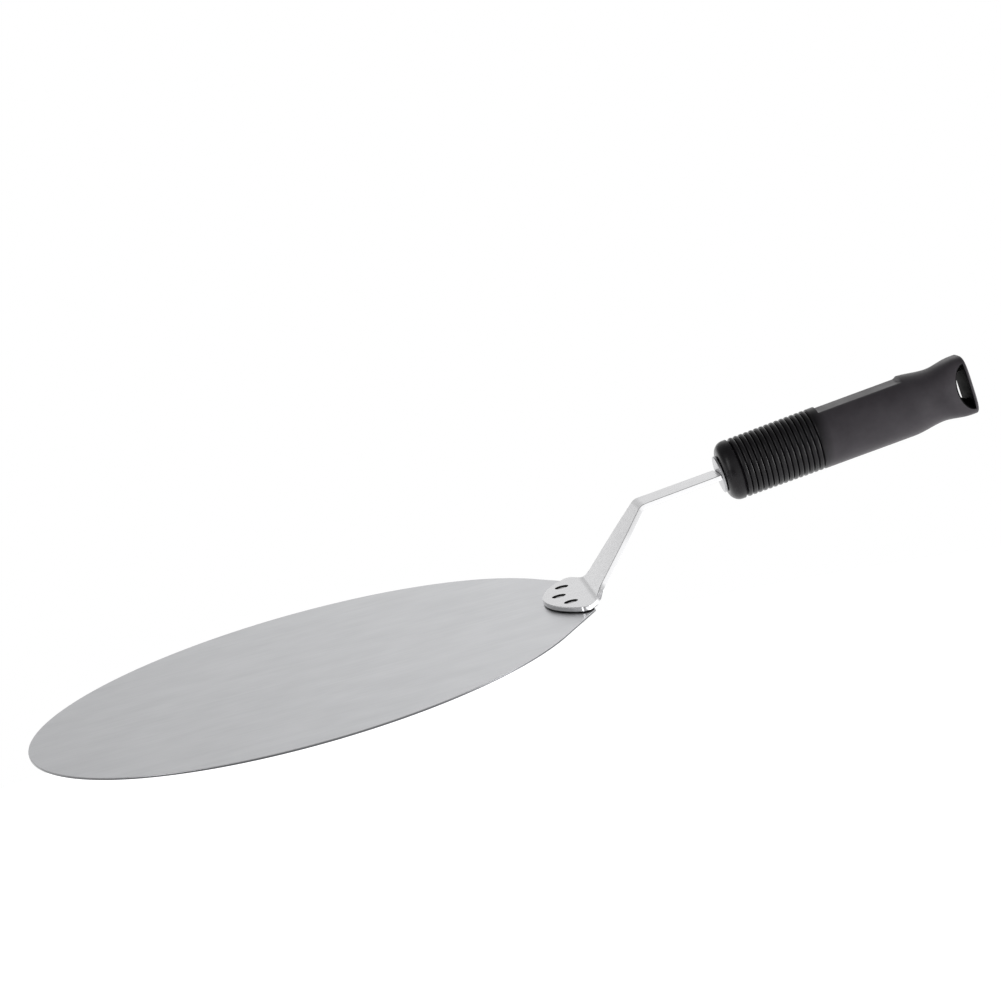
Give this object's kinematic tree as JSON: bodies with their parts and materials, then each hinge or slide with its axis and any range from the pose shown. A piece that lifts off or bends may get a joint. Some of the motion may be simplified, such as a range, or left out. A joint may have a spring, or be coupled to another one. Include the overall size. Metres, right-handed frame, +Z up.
{
  "type": "cake lifter",
  "caption": "Thin round steel plate on a cranked steel shank with a ribbed plastic handle, for lifting and moving cakes, tarts and pizzas.",
  "frame": {"origin": "centre of the underside of the round plate", "axes": "+X from the plate's centre towards the handle, +Z up out of the plate's upper face, +Y to the left when looking from the plate towards the handle"},
  "size_m": [0.4464, 0.254, 0.0636],
  "materials": {
    "satin_steel": "satin, lightly brushed stainless steel",
    "bright_steel": "polished stainless steel",
    "black_plastic": "matte moulded polypropylene"
  },
  "bodies": {
    "root": {"plate": "satin_steel", "shank": "bright_steel", "rivet_front": "bright_steel", "rivet_left": "bright_steel", "rivet_right": "bright_steel", "front_disc": "bright_steel", "grip": "black_plastic"}
  },
  "joints": []
}
